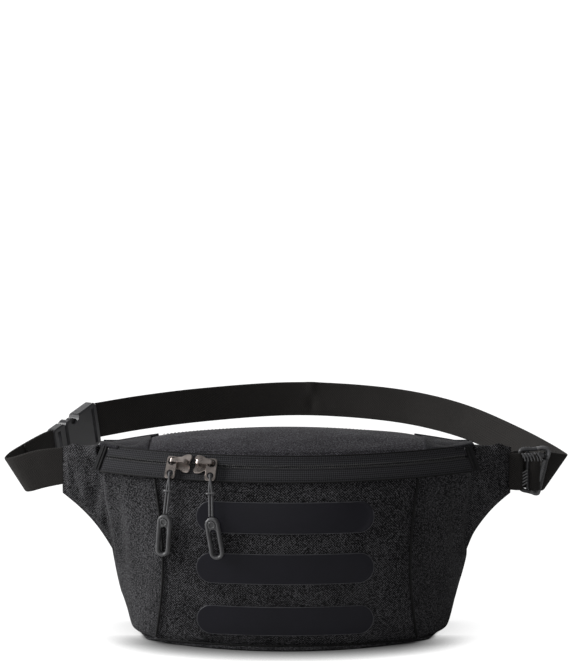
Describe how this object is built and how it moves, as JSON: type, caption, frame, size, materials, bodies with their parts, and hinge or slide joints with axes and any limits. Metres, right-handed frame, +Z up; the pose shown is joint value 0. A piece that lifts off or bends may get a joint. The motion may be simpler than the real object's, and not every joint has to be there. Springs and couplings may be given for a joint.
{
  "type": "waist pack",
  "caption": "Black fabric waist pack with a curved zip, cord-pull sliders, padded hip wings, plain film bars on the front and an adjustable belt with a side-release buckle.",
  "frame": {"origin": "middle of the base, on the surface it stands on", "axes": "+X along the front towards the ladder lock, +Y towards the wearer, +Z up"},
  "size_m": [0.4498, 0.2881, 0.1585],
  "materials": {
    "pack_fabric": "coarse woven, matt",
    "yoke_fabric": "fine woven, matt",
    "lining": "plain woven",
    "foam": "closed-cell foam, matt",
    "film": "satin film",
    "zip_tape": "ribbed tape",
    "zip_coil": "moulded coil",
    "webbing": "twill webbing",
    "slider_metal": "warm nickel, satin",
    "grip_rubber": "matt",
    "cord": "braided cord",
    "buckle_plastic": "satin"
  },
  "bodies": {
    "pack": {"front_panel": "pack_fabric", "gusset_right": "pack_fabric", "gusset_left": "pack_fabric", "back_panel": "pack_fabric", "base_panel": "pack_fabric", "top_yoke": "yoke_fabric", "top_corner_right": "lining", "top_corner_left": "lining", "wing_front_right": "pack_fabric", "wing_back_right": "pack_fabric", "wing_foam_right": "foam", "wing_front_left": "pack_fabric", "wing_back_left": "pack_fabric", "wing_foam_left": "foam", "back_foam": "foam", "back_lining": "lining", "inner_pocket": "lining", "base_stiffener": "lining", "seam_binding_right": "lining", "seam_binding_left": "lining", "front_bar_top": "film", "front_bar_middle": "film", "front_bar_bottom": "film", "zip_tape_lower": "zip_tape", "zip_tape_upper": "zip_tape", "zip_coil_lower": "zip_coil", "zip_coil_upper": "zip_coil", "zip_end_right": "webbing", "zip_end_left": "webbing", "buckle_socket": "buckle_plastic", "short_strap": "webbing", "short_strap_hem": "webbing", "waist_strap": "webbing", "anchor_webbing": "webbing", "threaded_strap": "webbing"},
    "left_slider": {"slider_left": "slider_metal"},
    "left_tab": {"pull_tab_left": "slider_metal"},
    "left_cord": {"cord_left": "cord", "cord_collar_left": "buckle_plastic"},
    "left_grip": {"grip_left": "grip_rubber"},
    "right_slider": {"slider_right": "slider_metal"},
    "right_tab": {"pull_tab_right": "slider_metal"},
    "right_cord": {"cord_right": "cord", "cord_collar_right": "buckle_plastic"},
    "right_grip": {"grip_right": "grip_rubber"},
    "lock": {"ladder_lock": "buckle_plastic"},
    "prong": {"buckle_prong_base": "buckle_plastic"},
    "upper_arm": {"buckle_arm_upper": "buckle_plastic"},
    "lower_arm": {"buckle_arm_lower": "buckle_plastic"}
  },
  "joints": [
    {"name": "left_slider_travel", "type": "hinge", "parent": "pack", "child": "left_slider", "pos_m": [0, 0.233, 0.14101], "axis": [0, 0, 1], "range_deg": [-12.2, 0]},
    {"name": "left_tab_swing", "type": "hinge", "parent": "left_slider", "child": "left_tab", "pos_m": [-0.08722, -0.02446, 0.14364], "axis": [-0.2999, -0.954, 0], "range_deg": [-35, 12]},
    {"name": "left_cord_lift", "type": "hinge", "parent": "left_tab", "child": "left_cord", "pos_m": [-0.08869, -0.02913, 0.13515], "axis": [-0.954, 0.2999, 0], "range_deg": [0, 100], "deforming": ["cord_left"]},
    {"name": "left_grip_swing", "type": "hinge", "parent": "left_cord", "child": "left_grip", "pos_m": [-0.09217, -0.03655, 0.10484], "axis": [-0.954, 0.2999, 0], "range_deg": [0, 60], "deforming": ["cord_left"]},
    {"name": "right_slider_travel", "type": "hinge", "parent": "pack", "child": "right_slider", "pos_m": [0, 0.233, 0.14101], "axis": [0, 0, 1], "range_deg": [0, 43]},
    {"name": "right_tab_swing", "type": "hinge", "parent": "right_slider", "child": "right_tab", "pos_m": [-0.05668, -0.03286, 0.14364], "axis": [-0.23, -0.9732, 0], "range_deg": [-12, 35]},
    {"name": "right_cord_lift", "type": "hinge", "parent": "right_tab", "child": "right_cord", "pos_m": [-0.05781, -0.03762, 0.13515], "axis": [-0.9732, 0.23, 0], "range_deg": [0, 100], "deforming": ["cord_right"]},
    {"name": "right_grip_swing", "type": "hinge", "parent": "right_cord", "child": "right_grip", "pos_m": [-0.05701, -0.04613, 0.10494], "axis": [-0.9732, 0.23, 0], "range_deg": [0, 60], "deforming": ["cord_right"]},
    {"name": "lock_tilt", "type": "hinge", "parent": "pack", "child": "lock", "pos_m": [0.1833, 0.032, 0.1236], "axis": [0, 0, -1], "range_deg": [0, 25], "deforming": ["anchor_webbing", "threaded_strap"]},
    {"name": "buckle_release", "type": "slide", "parent": "pack", "child": "prong", "axis": [-0.4529, -0.8637, -0.2212], "range_m": [0, 0.034], "deforming": ["short_strap", "short_strap_hem", "buckle_arm_upper", "buckle_arm_lower"]},
    {"name": "upper_arm_squeeze", "type": "hinge", "parent": "prong", "child": "upper_arm", "pos_m": [-0.18554, 0.12496, 0.13568], "axis": [-0.8856, 0.4644, 0], "range_deg": [0, 10]},
    {"name": "lower_arm_squeeze", "type": "hinge", "parent": "prong", "child": "lower_arm", "pos_m": [-0.18355, 0.12876, 0.11676], "axis": [-0.8856, 0.4644, 0], "range_deg": [-10, 0]}
  ],
  "couplings": [
    {"joint": "lower_arm_squeeze", "follows": "upper_arm_squeeze", "ratio": -1}
  ]
}
